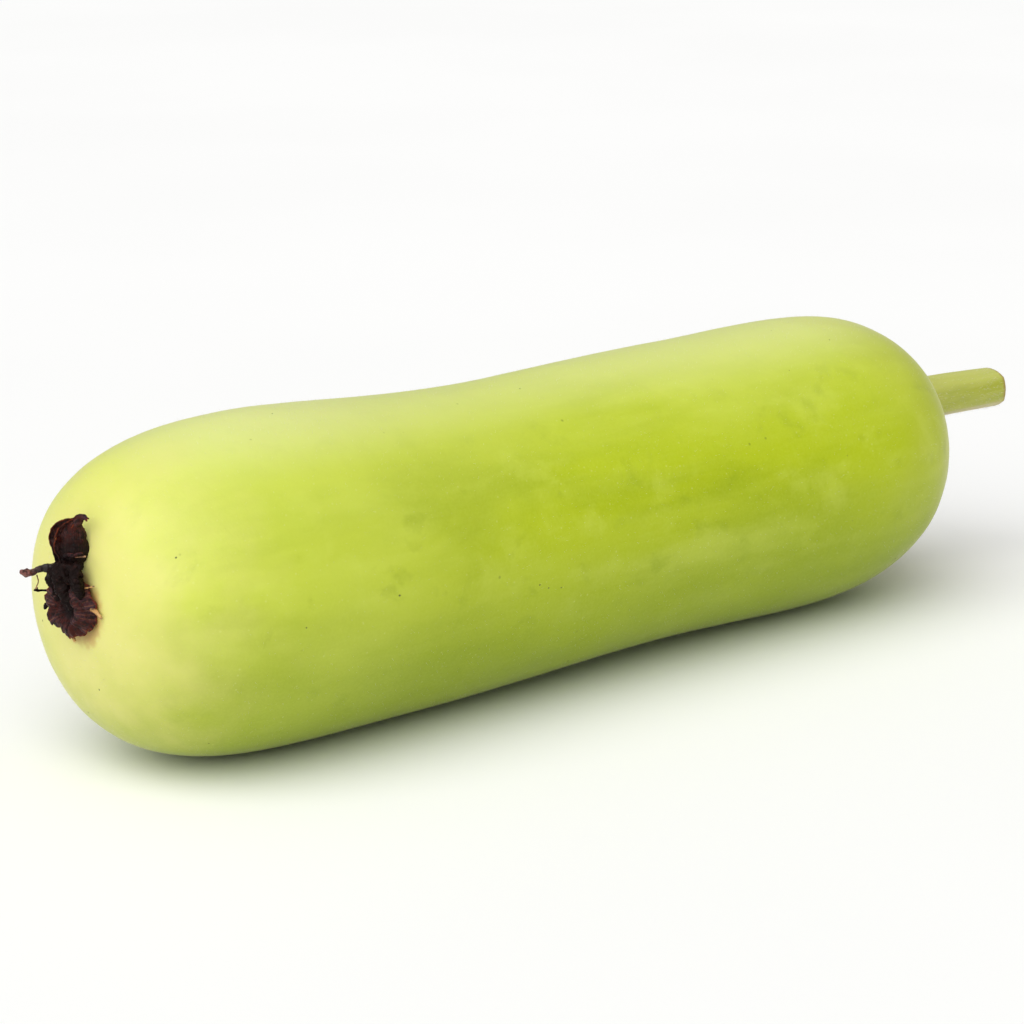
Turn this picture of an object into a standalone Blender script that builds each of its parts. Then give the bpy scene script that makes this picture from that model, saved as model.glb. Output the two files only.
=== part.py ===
"""A bottle gourd lying on its side: the fruit, its cut stem, and the withered flower on its blossom end.

The gourd lies along X with its stem at +X. Z is up, and the surface it rests on is z = 0.
"""
import math

import bmesh
import bpy
from mathutils import Vector

# Driving dimensions, in metres.
MM = 0.001
FRUIT_HALF_LENGTH = 157 * MM
BLOSSOM_BULGE = 47.0 * MM       # radii of the body, before its ends round off
WAIST = 43.2 * MM
STEM_BULGE = 46.2 * MM
BULGE_STATION = 0.62            # where the bulges and the waist lie, as a share of the half length
WAIST_STATION = 0.05
BLOSSOM_END = (5.07, 3.0)       # powers of the end's curve, along the fruit and across it
STEM_END = (5.8, 2.25)
BLOSSOM_SEAT_RADIUS = 7.5 * MM  # flat scars that the flower and the stem stand on
STEM_SEAT_RADIUS = 8.8 * MM
BLOSSOM_LIFT = 4.5 * MM         # how far each end's tip rises above the fruit's axis
STEM_LIFT = 16.5 * MM
SIDE_BOW = 0.8 * MM
UPWARD_BOW = 1.6 * MM           # the centre line's slight arch, and its slight S about the waist
S_BEND = 1.0 * MM
RESTING_PRESS = 0.7 * MM        # how deep the two bulges are flattened where they rest
GAP = 0.3 * MM                  # clearance between pieces that grow on one another

STEM_LENGTH = 46.5 * MM
STEM_RADIUS = 7.0 * MM
STEM_RIDGES = 5
STYLE_REACH = 15 * MM           # how far the dried style stands out from the blossom end
PETAL_THICKNESS = 0.8 * MM

AROUND_FRUIT = 48
RINGS_PER_END = 13
RINGS_PER_MIDDLE = 18
AROUND_STEM = 30


def clear_scene():
    for item in list(bpy.data.objects):
        bpy.data.objects.remove(item, do_unlink=True)


def material(name, srgb, roughness):
    """One plain Principled finish, its colour given in sRGB from 0 to 1."""
    finish = bpy.data.materials.new(name)
    finish.use_nodes = True
    shader = finish.node_tree.nodes["Principled BSDF"]
    linear = [channel ** 2.2 for channel in srgb]
    shader.inputs["Base Color"].default_value = (*linear, 1.0)
    shader.inputs["Roughness"].default_value = roughness
    shader.inputs["Metallic"].default_value = 0.0
    return finish


def add_object(name, data, parent, finish):
    item = bpy.data.objects.new(name, data)
    bpy.context.scene.collection.objects.link(item)
    item.parent = parent
    data.materials.append(finish)
    return item


def add_empty(name, location, parent=None):
    item = bpy.data.objects.new(name, None)
    item.location = location
    item.parent = parent
    bpy.context.scene.collection.objects.link(item)
    return item


def loft(name, rings):
    """A closed mesh through rings of points, each ring counter-clockwise when seen from its far side."""
    bm = bmesh.new()
    loops = [[bm.verts.new(point) for point in ring] for ring in rings]
    for near, far in zip(loops, loops[1:]):
        for i in range(len(near)):
            j = (i + 1) % len(near)
            bm.faces.new((near[i], near[j], far[j], far[i]))
    bm.faces.new(list(reversed(loops[0])))
    bm.faces.new(loops[-1])
    bmesh.ops.recalc_face_normals(bm, faces=bm.faces)
    mesh = bpy.data.meshes.new(name)
    bm.to_mesh(mesh)
    bm.free()
    mesh.shade_smooth()
    mesh.set_sharp_from_angle(angle=math.radians(40))
    return mesh


# The fruit. A station t runs from -1 at the blossom end to +1 at the stem end.

def body_radius(t):
    """The parabola through the radii of the blossom bulge, the waist and the stem bulge."""
    a, b, c = -BULGE_STATION, WAIST_STATION, BULGE_STATION
    return (BLOSSOM_BULGE * (t - b) * (t - c) / ((a - b) * (a - c))
            + WAIST * (t - a) * (t - c) / ((b - a) * (b - c))
            + STEM_BULGE * (t - a) * (t - b) / ((c - a) * (c - b)))


def end_fullness(t):
    """1 along the body, falling to 0 at either tip."""
    along, across = BLOSSOM_END if t < 0 else STEM_END
    return max(0.0, 1 - abs(t) ** along) ** (1 / across)


def seat_station(side):
    """The station of the flat scar at an end; side is -1 for the blossom and +1 for the stem."""
    along, across = BLOSSOM_END if side < 0 else STEM_END
    scar = BLOSSOM_SEAT_RADIUS if side < 0 else STEM_SEAT_RADIUS
    return side * (1 - (scar / body_radius(side)) ** across) ** (1 / along)


def lumps(t, angle):
    """The gentle unevenness of a grown skin, as a share of the radius."""
    return (0.004 * math.sin(2 * angle + 4.0 * t + 0.6) + 0.003 * math.sin(3 * angle - 5.5 * t + 2.0)
            + 0.003 * math.sin(8.0 * t + 1.0))


def unsettled_centre(t):
    """The bowed centre line before the fruit is laid down, as (y, z)."""
    lift = BLOSSOM_LIFT if t < 0 else STEM_LIFT
    bow = t * t - 0.3
    s_bend = S_BEND * math.sin(2 * math.pi * t) * (1 - t * t) ** 2
    return SIDE_BOW * bow, UPWARD_BOW * bow + s_bend + lift * (1 - end_fullness(t)) ** 3


def radius_at(t, angle):
    return body_radius(t) * end_fullness(t) * (1 + lumps(t, angle) * end_fullness(t))


def lowest_station(side):
    """The station where one half of the fruit hangs lowest."""
    stations = [side * step / 100 for step in range(10, 90)]
    return min(stations, key=underside)


def underside(t):
    return unsettled_centre(t)[1] - radius_at(t, -math.pi / 2)


def centre(t):
    """The centre line once both bulges lie on the surface, pressed a little way into it."""
    near, far = lowest_station(-1), lowest_station(1)
    slope = (underside(far) - underside(near)) / (far - near)
    y, z = unsettled_centre(t)
    return y, z - underside(near) - slope * (t - near) - RESTING_PRESS


def fruit_stations():
    """Stations spaced evenly along the body and gathered where the ends turn in."""
    body_end = 0.6
    stations = []
    for side in (-1, 1):
        along = (BLOSSOM_END if side < 0 else STEM_END)[0]
        start = math.asin(body_end ** (along / 2))
        finish = math.asin(abs(seat_station(side)) ** (along / 2))
        for step in range(RINGS_PER_END + 1):
            turn = start + (finish - start) * step / RINGS_PER_END
            stations.append(side * math.sin(turn) ** (2 / along))
    for step in range(1, RINGS_PER_MIDDLE):
        stations.append(body_end * (2 * step / RINGS_PER_MIDDLE - 1))
    return sorted(stations)


def fruit_mesh():
    rings = []
    for t in fruit_stations():
        y, z = centre(t)
        ring = []
        for i in range(AROUND_FRUIT):
            angle = 2 * math.pi * i / AROUND_FRUIT
            r = radius_at(t, angle)
            height = max(0.0, z + r * math.sin(angle))
            ring.append((t * FRUIT_HALF_LENGTH, y + r * math.cos(angle), height))
        rings.append(ring)
    return loft("fruit", rings)


# The stem, in its own frame: it grows along +X from the scar on the fruit.

def stem_radius(x):
    flare = 1.9 * MM * math.exp(-x / (4 * MM))
    taper = 0.6 * MM * x / STEM_LENGTH
    return STEM_RADIUS + flare - taper


def stem_ring(x, shrink=0.0):
    """A ring with soft ridges, the first of them where the upper front edge of the stem is."""
    first_ridge = math.radians(140)
    droop = -1.2 * MM * (x / STEM_LENGTH) ** 2
    ring = []
    for i in range(AROUND_STEM):
        angle = 2 * math.pi * i / AROUND_STEM
        ridge = 0.07 * math.cos(STEM_RIDGES * (angle - first_ridge))
        r = stem_radius(x) * (1 + ridge) - shrink
        ring.append((x, r * math.cos(angle), droop + r * math.sin(angle)))
    return ring


def stem_mesh():
    """The cut stub: a flared foot, five soft ridges and a square cut with a worn rim."""
    rim = 0.8 * MM
    heights = [GAP + step * MM for step in (0, 1.2, 2.6, 4.5, 7.5, 12, 18, 25, 32, 39)]
    rings = [stem_ring(x) for x in heights]
    rings.append(stem_ring(STEM_LENGTH - rim))
    rings.append(stem_ring(STEM_LENGTH, shrink=rim))
    return loft("stem", rings)


# The withered flower, in its own frame: +X points out from the fruit, +Y to the right of someone
# facing the flower, and +Z up. Its points are in millimetres.

def mm(point):
    return Vector(point) * MM


def curve_point(points, u):
    """A point on the quadratic curve from the first point to the last, drawn towards the middle one."""
    start, middle, end = (mm(point) for point in points)
    return start * (1 - u) ** 2 + middle * 2 * u * (1 - u) + end * u * u


def across_curve(points, u):
    """The direction across a blade at that point, square to its middle line and to the outward X."""
    start, middle, end = (mm(point) for point in points)
    along = (middle - start) * (1 - u) + (end - middle) * u
    return along.cross(Vector((1, 0, 0))).normalized()


def calyx_mesh():
    """The dried base of the flower, a low dome on the scar."""
    width, height, depth = 7.2 * MM, 6.9 * MM, 1.6 * MM
    profile = [(1.0, 0.0), (1.0, 0.35), (0.86, 0.75), (0.55, 0.96), (0.2, 1.0)]
    rings = []
    for spread, rise in profile:
        ring = []
        for i in range(24):
            angle = 2 * math.pi * i / 24
            edge = spread * (1 + 0.05 * math.sin(5 * angle))
            ring.append((GAP + rise * depth, edge * width * math.cos(angle), edge * height * math.sin(angle)))
        rings.append(ring)
    return loft("withered_calyx", rings)


def throat_mesh():
    """The shrivelled tube of the flower, where its petals meet, a crumpled bean lying across it."""
    middle = mm((3.2, 2.0, 9.0))
    half = mm((2.2, 5.2, 1.35))
    bm = bmesh.new()
    bmesh.ops.create_uvsphere(bm, u_segments=20, v_segments=12, radius=1.0)
    for vertex in bm.verts:
        x, y, z = vertex.co
        fold = 1 + 0.06 * math.sin(7 * y + 3 * x) + 0.05 * math.sin(5 * z - 4 * x)
        vertex.co = middle + Vector((x * half.x, y * half.y, z * half.z)) * fold
    mesh = bpy.data.meshes.new("withered_throat")
    bm.to_mesh(mesh)
    bm.free()
    mesh.shade_smooth()
    return mesh


# Each petal: the middle line of its blade from root to tip, half its width, how far its middle
# stands forward of its edges, and the phase of its wrinkles.
PETALS = (
    (((3.4, 0.0, 12.2), (5.2, -3.2, 16.2), (3.4, 0.4, 20.6)), 2.7, 1.0, 0.4),
    (((2.7, 4.9, 11.2), (3.8, 3.6, 17.5), (1.8, 6.2, 24.6)), 2.1, 0.8, 1.9),
    (((3.4, -3.0, 6.6), (6.0, -6.2, 0.5), (3.4, -4.0, -6.6)), 2.1, 1.0, 3.1),
    (((3.0, 0.8, 6.5), (2.9, 1.0, -2.0), (3.9, 0.8, -8.8)), 2.2, -0.5, 4.4),
    (((3.0, 5.4, 6.6), (4.6, 7.4, 0.5), (3.2, 4.6, -7.4)), 1.9, 0.8, 5.6),
)


def petal_mesh(name, spine, half_width, crown, phase):
    """An open blade of a dried petal, which Solidify thickens."""
    rows, columns = 10, 6
    bm = bmesh.new()
    grid = []
    for i in range(rows + 1):
        u = i / rows
        width = half_width * MM * (0.5 + 0.5 * math.sin(math.pi * min(1.0, 0.15 + 0.9 * u))) * (1 - 0.45 * u ** 3)
        middle, across = curve_point(spine, u), across_curve(spine, u)
        row = []
        for j in range(columns + 1):
            v = 2 * j / columns - 1
            wrinkle = 0.15 * MM * math.sin(3.0 * v + 5.0 * u + phase)
            forward = crown * MM * (1 - v * v) * math.sin(math.pi * (0.2 + 0.6 * u)) + wrinkle
            row.append(bm.verts.new(middle + across * v * width + Vector((forward, 0.0, 0.0))))
        grid.append(row)
    for lower, upper in zip(grid, grid[1:]):
        for j in range(columns):
            bm.faces.new((lower[j], lower[j + 1], upper[j + 1], upper[j]))
    mesh = bpy.data.meshes.new(name)
    bm.to_mesh(mesh)
    bm.free()
    mesh.shade_smooth()
    return mesh


def add_petal(number, parent, finish):
    name = f"withered_petal_{number}"
    spine, half_width, crown, phase = PETALS[number - 1]
    petal = add_object(name, petal_mesh(name, spine, half_width, crown, phase), parent, finish)
    thickness = petal.modifiers.new("thickness", "SOLIDIFY")
    thickness.thickness = PETAL_THICKNESS
    thickness.offset = 0


# Each sepal: its root on the rim of the calyx, the point that bends it, and its tip.
SEPALS = (
    ((1.5, -8.2, -0.4), (2.4, -9.0, -1.2), (3.2, -9.4, -3.0)),
    ((1.3, -6.6, 4.8), (3.4, -8.4, 5.4), (6.2, -8.2, 4.4)),
    ((1.2, 8.0, 3.0), (1.8, 9.2, 4.6), (1.6, 10.4, 5.6)),
    ((1.2, 7.9, -1.6), (1.6, 9.8, -2.0), (1.4, 11.4, -3.0)),
    ((1.4, 1.2, -7.9), (2.0, 1.2, -9.8), (2.2, 2.2, -11.4)),
)
SEPAL_RADIUS = 0.5 * MM
STYLE_ROOT_RADIUS = 0.95 * MM


def tube_curve(name, points, radius, tip_share):
    """A round tapering tube through points, with closed ends."""
    curve = bpy.data.curves.new(name, "CURVE")
    curve.dimensions = "3D"
    curve.bevel_depth = radius
    curve.bevel_resolution = 2
    curve.use_fill_caps = True
    spline = curve.splines.new("POLY")
    spline.points.add(len(points) - 1)
    for i, (target, point) in enumerate(zip(spline.points, points)):
        target.co = (*point, 1.0)
        target.radius = 1 - (1 - tip_share) * i / (len(points) - 1)
    return curve


def add_sepal(number, parent, finish):
    name = f"dried_sepal_{number}"
    points = [curve_point(SEPALS[number - 1], step / 6) for step in range(7)]
    add_object(name, tube_curve(name, points, SEPAL_RADIUS, 0.35), parent, finish)


def add_style(parent, finish):
    """The dried style, which leaves the left end of the throat and waves outwards."""
    root, tip = mm((4.6, -4.6, 10.0)), mm((STYLE_REACH / MM - 0.6, -4.4, 11.2))
    points = []
    for step in range(13):
        u = step / 12
        wave = Vector((0, 0.4 * MM * math.sin(2 * math.pi * u), -1.3 * MM * math.sin(math.pi * u) ** 2))
        points.append(root.lerp(tip, u) + wave)
    add_object("dried_style", tube_curve("dried_style", points, STYLE_ROOT_RADIUS, 0.8), parent, finish)


def seat_location(side):
    """Where the flat scar at an end has its middle, in the fruit's frame."""
    t = seat_station(side)
    y, z = centre(t)
    return t * FRUIT_HALF_LENGTH, y, z


def build_fruit(gourd):
    add_object("fruit", fruit_mesh(), gourd, material("fruit_skin", (0.72, 0.77, 0.26), 0.5))


def build_stem(gourd):
    seat = add_empty("stem_seat", seat_location(1), gourd)
    add_object("stem", stem_mesh(), seat, material("stem_rind", (0.70, 0.71, 0.32), 0.62))


def build_flower(gourd):
    seat = add_empty("blossom_seat", seat_location(-1), gourd)
    seat.rotation_euler.z = math.pi
    add_object("withered_calyx", calyx_mesh(), seat, material("calyx_brown", (0.30, 0.15, 0.09), 0.85))
    add_object("withered_throat", throat_mesh(), seat, material("throat_black", (0.12, 0.05, 0.04), 0.6))
    petal_finish = material("petal_brown", (0.29, 0.12, 0.09), 0.75)
    sepal_finish = material("sepal_brown", (0.22, 0.11, 0.07), 0.8)
    for number in range(1, len(PETALS) + 1):
        add_petal(number, seat, petal_finish)
    for number in range(1, len(SEPALS) + 1):
        add_sepal(number, seat, sepal_finish)
    add_style(seat, material("style_brown", (0.35, 0.18, 0.16), 0.7))


def main():
    clear_scene()
    middle_of_length = (STEM_LENGTH - STYLE_REACH) / 2
    gourd = add_empty("gourd", (-middle_of_length, 0, 0))
    build_fruit(gourd)
    build_stem(gourd)
    build_flower(gourd)
    bpy.context.view_layer.update()


main()
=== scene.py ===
"""Dresses a bottle gourd: its downy skin, its cut stem and its withered flower, on a studio floor."""
import math

import bpy
import numpy as np
from bpy.props import FloatProperty, FloatVectorProperty, IntProperty, PointerProperty
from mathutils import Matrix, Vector


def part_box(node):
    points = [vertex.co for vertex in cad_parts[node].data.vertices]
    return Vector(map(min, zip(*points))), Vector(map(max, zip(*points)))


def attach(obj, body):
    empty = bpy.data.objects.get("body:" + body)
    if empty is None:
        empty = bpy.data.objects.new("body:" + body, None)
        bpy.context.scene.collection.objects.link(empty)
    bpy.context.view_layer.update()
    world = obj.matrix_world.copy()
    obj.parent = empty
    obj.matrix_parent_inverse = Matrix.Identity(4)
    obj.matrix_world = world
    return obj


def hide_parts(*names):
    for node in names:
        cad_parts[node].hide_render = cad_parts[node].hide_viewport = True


bl_info = {
    "name": "Bottle Gourd",
    "version": (1, 0, 0),
    "blender": (4, 5, 0),
    "location": "3D View > Sidebar > Gourd",
    "description": "Builds the skin, down, stem and withered flower of a bottle gourd on its frame",
    "category": "Object",
}

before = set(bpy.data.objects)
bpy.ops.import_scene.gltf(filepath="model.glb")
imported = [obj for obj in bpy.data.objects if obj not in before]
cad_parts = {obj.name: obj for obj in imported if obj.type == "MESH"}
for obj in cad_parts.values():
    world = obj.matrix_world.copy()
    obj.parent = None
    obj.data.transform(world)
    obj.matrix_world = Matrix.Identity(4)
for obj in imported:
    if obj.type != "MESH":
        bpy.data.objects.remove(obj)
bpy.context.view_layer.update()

MM = 0.001
FRUIT_LOW, FRUIT_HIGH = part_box("fruit")
STEM_LOW, STEM_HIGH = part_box("stem")
CALYX_LOW, CALYX_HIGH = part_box("withered_calyx")
SEAT_GAP = 0.3 * MM
FLOWER_SEAT = Vector((CALYX_HIGH.x + SEAT_GAP, (CALYX_LOW.y + CALYX_HIGH.y) / 2, (CALYX_LOW.z + CALYX_HIGH.z) / 2))


def linear(code):
    """The linear colour of a six-figure sRGB code."""
    parts = [int(code[i:i + 2], 16) / 255 for i in (0, 2, 4)]
    return tuple(p / 12.92 if p <= 0.04045 else ((p + 0.055) / 1.055) ** 2.4 for p in parts)


def colour_property(name, description, code):
    return FloatVectorProperty(name=name, description=description, subtype="COLOR", size=3, min=0, max=1,
                               default=linear(code))


def length_property(name, description, default):
    return FloatProperty(name=name, description=description, default=default, min=0, unit="LENGTH",
                         subtype="DISTANCE", precision=5)


# Settings

class FruitSettings(bpy.types.PropertyGroup):
    skin_colour: colour_property("Skin", "Yellow green of the body", "b4c410")
    # Deep green is the mottling's own colour and also painted shade on the fruit's lower side.
    deep_colour: colour_property("Deep green", "Darker green of the mottling and the underside", "829700")
    # Pale green is the mottling's own colour and also painted light on the fruit's top side.
    pale_colour: colour_property("Pale green", "Lighter green of the mottling and the upper side", "d2de5c")
    # Painted sheen: a whitish green painted along the top, standing in for light caught by the down.
    painted_sheen_colour: colour_property("Painted top sheen", "Whitish green along the top", "eceeb0")
    blossom_colour: colour_property("Blossom end", "Cream skin round the flower", "ded886")
    stem_end_colour: colour_property("Stem end", "Dull skin round the stem", "cac85a")
    dent_depth: length_property("Dent depth", "Height of the broad uneven swells", 0.30 * MM)
    furrow_depth: length_property("Furrow depth", "Height of the faint lengthwise furrows", 0.14 * MM)
    pimple_depth: length_property("Pimple depth", "Height of the fine goose flesh", 0.035 * MM)
    rows: IntProperty(name="Rows", description="Rings of faces along the fruit", default=440, min=60)
    columns: IntProperty(name="Columns", description="Faces round the fruit", default=208, min=48)


class DownSettings(bpy.types.PropertyGroup):
    down_colour: colour_property("Down", "Colour of the fine hairs", "f3ecd8")
    down_length: length_property("Length", "Length of a hair on the fruit", 0.8 * MM)
    down_thickness: length_property("Thickness", "Thickness of a hair at its root", 0.035 * MM)
    down_density: FloatProperty(name="Density", description="Hairs on a square metre of skin",
                                default=150000, min=0)
    seed: IntProperty(name="Seed", description="Changes where the hairs stand", default=7)


class SpeckSettings(bpy.types.PropertyGroup):
    dark_colour: colour_property("Dark specks", "Small corky scabs", "5d6420")
    pale_colour: colour_property("Pale specks", "Small pale pores", "d4dc7e")
    dark_density: FloatProperty(name="Dark density", description="Scabs on a square metre", default=900, min=0)
    pale_density: FloatProperty(name="Pale density", description="Pores on a square metre", default=9000, min=0)


class StemSettings(bpy.types.PropertyGroup):
    rind_colour: colour_property("Rind", "Green of the stem", "aab028")
    light_colour: colour_property("Light rind", "Paler green of the ridges", "c9cb72")
    cut_colour: colour_property("Cut face", "Pith of the cut end", "cdd296")
    brown_colour: colour_property("Browned rim", "Dried rim of the cut", "9a7440")
    ridge_count: IntProperty(name="Ridges", description="Ridges round the stem", default=5, min=3)
    ridge_sharpness: FloatProperty(name="Ridge sharpness", description="0 is round and 1 is a flat-sided stem",
                                   default=0.5, min=0, max=1)
    first_ridge: FloatProperty(name="First ridge", description="Where the first ridge stands, from the side",
                               default=math.radians(140), subtype="ANGLE")
    grain_depth: length_property("Grain depth", "Height of the lengthwise grain", 0.10 * MM)


class FlowerSettings(bpy.types.PropertyGroup):
    petal_colour: colour_property("Petal", "Dark red brown of the dried petals", "3a120c")
    inside_colour: colour_property("Petal face", "Purple grey of the inner faces", "3f262b")
    rim_colour: colour_property("Petal rim", "Rust of the petals' edges", "6b2a12")
    vein_colour: colour_property("Veins", "Light brown of the veins", "8e5c3c")
    char_colour: colour_property("Calyx", "Near black of the shrivelled base", "120604")
    style_colour: colour_property("Style", "Brown of the dried style", "1c0e0b")
    tip_colour: colour_property("Style tip", "Pinkish tip of the style", "7c4740")
    fibre_colour: colour_property("Fibres", "Tan of the loose fibres", "b5854a")
    crumple_depth: length_property("Crumple depth", "Height of the creases in a petal", 0.62 * MM)
    petal_thickness: length_property("Petal thickness", "Thickness of a dried petal", 0.32 * MM)


class StageSettings(bpy.types.PropertyGroup):
    floor_colour: colour_property("Floor", "Colour of the floor", "fbfbfa")
    floor_reach: length_property("Floor reach", "From the middle of the floor to its edges", 6.0)
    key_strength: FloatProperty(name="Key light", description="Strength of the soft light at the upper left",
                                default=2.8, min=0)
    key_softness: FloatProperty(name="Key softness", description="How wide the key light is in the sky",
                                default=math.radians(70), subtype="ANGLE")
    sky_strength: FloatProperty(name="Sky", description="Strength of the even light from all round",
                                default=0.37, min=0)
    lens: FloatProperty(name="Lens", description="Focal length of the camera, in millimetres", default=107.67)
    azimuth: FloatProperty(name="Azimuth", description="Camera's turn round the gourd",
                           default=math.radians(-40.84), subtype="ANGLE")
    elevation: FloatProperty(name="Elevation", description="Camera's height above the floor as an angle",
                             default=math.radians(15.0), subtype="ANGLE")
    distance: length_property("Distance", "From the camera to the gourd's middle", 0.8883)


# Node building

def add_node(tree, kind, inputs=None, **settings):
    """A node with its settings, and with its inputs set to values or linked from sockets."""
    item = tree.nodes.new(kind)
    for name, value in settings.items():
        setattr(item, name, value)
    for name, value in (inputs or {}).items():
        connect(tree, value, item.inputs[name])
    return item


def connect(tree, value, socket):
    if isinstance(value, bpy.types.NodeSocket):
        tree.links.new(value, socket)
    else:
        socket.default_value = value


def calculate(tree, operation, *values, clamp=False):
    """The output of a Math node."""
    item = add_node(tree, "ShaderNodeMath", operation=operation, use_clamp=clamp)
    for socket, value in zip(item.inputs, values):
        connect(tree, value, socket)
    return item.outputs[0]


def vector_math(tree, operation, *values, output=0):
    """An output of a Vector Math node; SCALE takes its factor as the last value."""
    item = add_node(tree, "ShaderNodeVectorMath", operation=operation)
    if operation == "SCALE":
        connect(tree, values[-1], item.inputs["Scale"])
        values = values[:-1]
    for socket, value in zip(item.inputs, values):
        connect(tree, value, socket)
    return item.outputs[output]


def remap(tree, value, low, high, to_low=0.0, to_high=1.0):
    """The value's place between low and high, eased and held at both ends."""
    item = add_node(tree, "ShaderNodeMapRange", interpolation_type="SMOOTHSTEP")
    for socket, entry in zip(item.inputs, (value, low, high, to_low, to_high)):
        connect(tree, entry, socket)
    return item.outputs[0]


def blend(tree, factor, first, second, mode="MIX"):
    """The colour output of a Mix node."""
    item = add_node(tree, "ShaderNodeMix", data_type="RGBA", blend_type=mode)
    item.clamp_factor = True
    for index, value in ((0, factor), (6, first), (7, second)):
        if isinstance(value, tuple) and len(value) == 3:
            value = (*value, 1.0)
        connect(tree, value, item.inputs[index])
    return item.outputs[2]


def noise_at(tree, position, scale, detail=2.0, roughness=0.5, distortion=0.0):
    """The grey output of a Noise Texture, from 0 to 1."""
    item = add_node(tree, "ShaderNodeTexNoise", {
        "Vector": position, "Scale": scale, "Detail": detail, "Roughness": roughness, "Distortion": distortion})
    return item.outputs[0]


def new_tree(name, kind, sockets):
    """A node group with the named inputs and outputs, and its input and output nodes."""
    tree = bpy.data.node_groups.new(name, kind)
    for label, direction, socket_type, default in sockets:
        socket = tree.interface.new_socket(name=label, in_out=direction, socket_type=socket_type)
        if default is not None:
            socket.default_value = default
    return tree, tree.nodes.new("NodeGroupInput").outputs, tree.nodes.new("NodeGroupOutput").inputs


FLOAT, VECTOR, GEOMETRY = "NodeSocketFloat", "NodeSocketVector", "NodeSocketGeometry"
INTEGER, MATERIAL = "NodeSocketInt", "NodeSocketMaterial"


# Geometry trees

def finish_tree(tree, geometry, material, output):
    """Ends a geometry tree with smooth shading, real copies and its material."""
    smooth = add_node(tree, "GeometryNodeSetShadeSmooth", {"Geometry": geometry})
    real = add_node(tree, "GeometryNodeRealizeInstances", {"Geometry": smooth.outputs[0]})
    dressed = add_node(tree, "GeometryNodeSetMaterial", {"Geometry": real.outputs[0], "Material": material})
    tree.links.new(dressed.outputs[0], output["Geometry"])


def centred_noise(tree, position, scale, depth, detail=2.0):
    """Noise that swings evenly to either side of zero by about the given depth."""
    grey = noise_at(tree, position, scale, detail)
    return calculate(tree, "MULTIPLY", calculate(tree, "SUBTRACT", grey, 0.5), calculate(tree, "MULTIPLY", depth, 2.0))


def skin_relief_tree():
    """Broad dents, lengthwise furrows and goose flesh, fading out where the fruit rests."""
    tree, given, output = new_tree("Skin relief", "GeometryNodeTree", (
        ("Geometry", "INPUT", GEOMETRY, None), ("Dent Depth", "INPUT", FLOAT, 0.0003),
        ("Furrow Depth", "INPUT", FLOAT, 0.0001), ("Pimple Depth", "INPUT", FLOAT, 0.00003),
        ("Resting Band", "INPUT", FLOAT, 0.008), ("Material", "INPUT", MATERIAL, None),
        ("Geometry", "OUTPUT", GEOMETRY, None)))
    place = tree.nodes.new("GeometryNodeInputPosition").outputs[0]
    normal = tree.nodes.new("GeometryNodeInputNormal").outputs[0]
    drawn_out = vector_math(tree, "MULTIPLY", place, (0.16, 1.0, 1.0))
    dents = centred_noise(tree, place, 32.0, given["Dent Depth"], 1.0)
    furrows = centred_noise(tree, drawn_out, 95.0, given["Furrow Depth"], 1.5)
    pimples = centred_noise(tree, place, 420.0, given["Pimple Depth"], 1.0)
    height = calculate(tree, "ADD", calculate(tree, "ADD", dents, furrows), pimples)
    above = add_node(tree, "ShaderNodeSeparateXYZ", {0: place}).outputs["Z"]
    free = remap(tree, above, 0.0002, given["Resting Band"])
    offset = vector_math(tree, "SCALE", normal, calculate(tree, "MULTIPLY", height, free))
    moved = add_node(tree, "GeometryNodeSetPosition", {"Geometry": given["Geometry"], "Offset": offset})
    finish_tree(tree, moved.outputs[0], given["Material"], output)
    return tree


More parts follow.
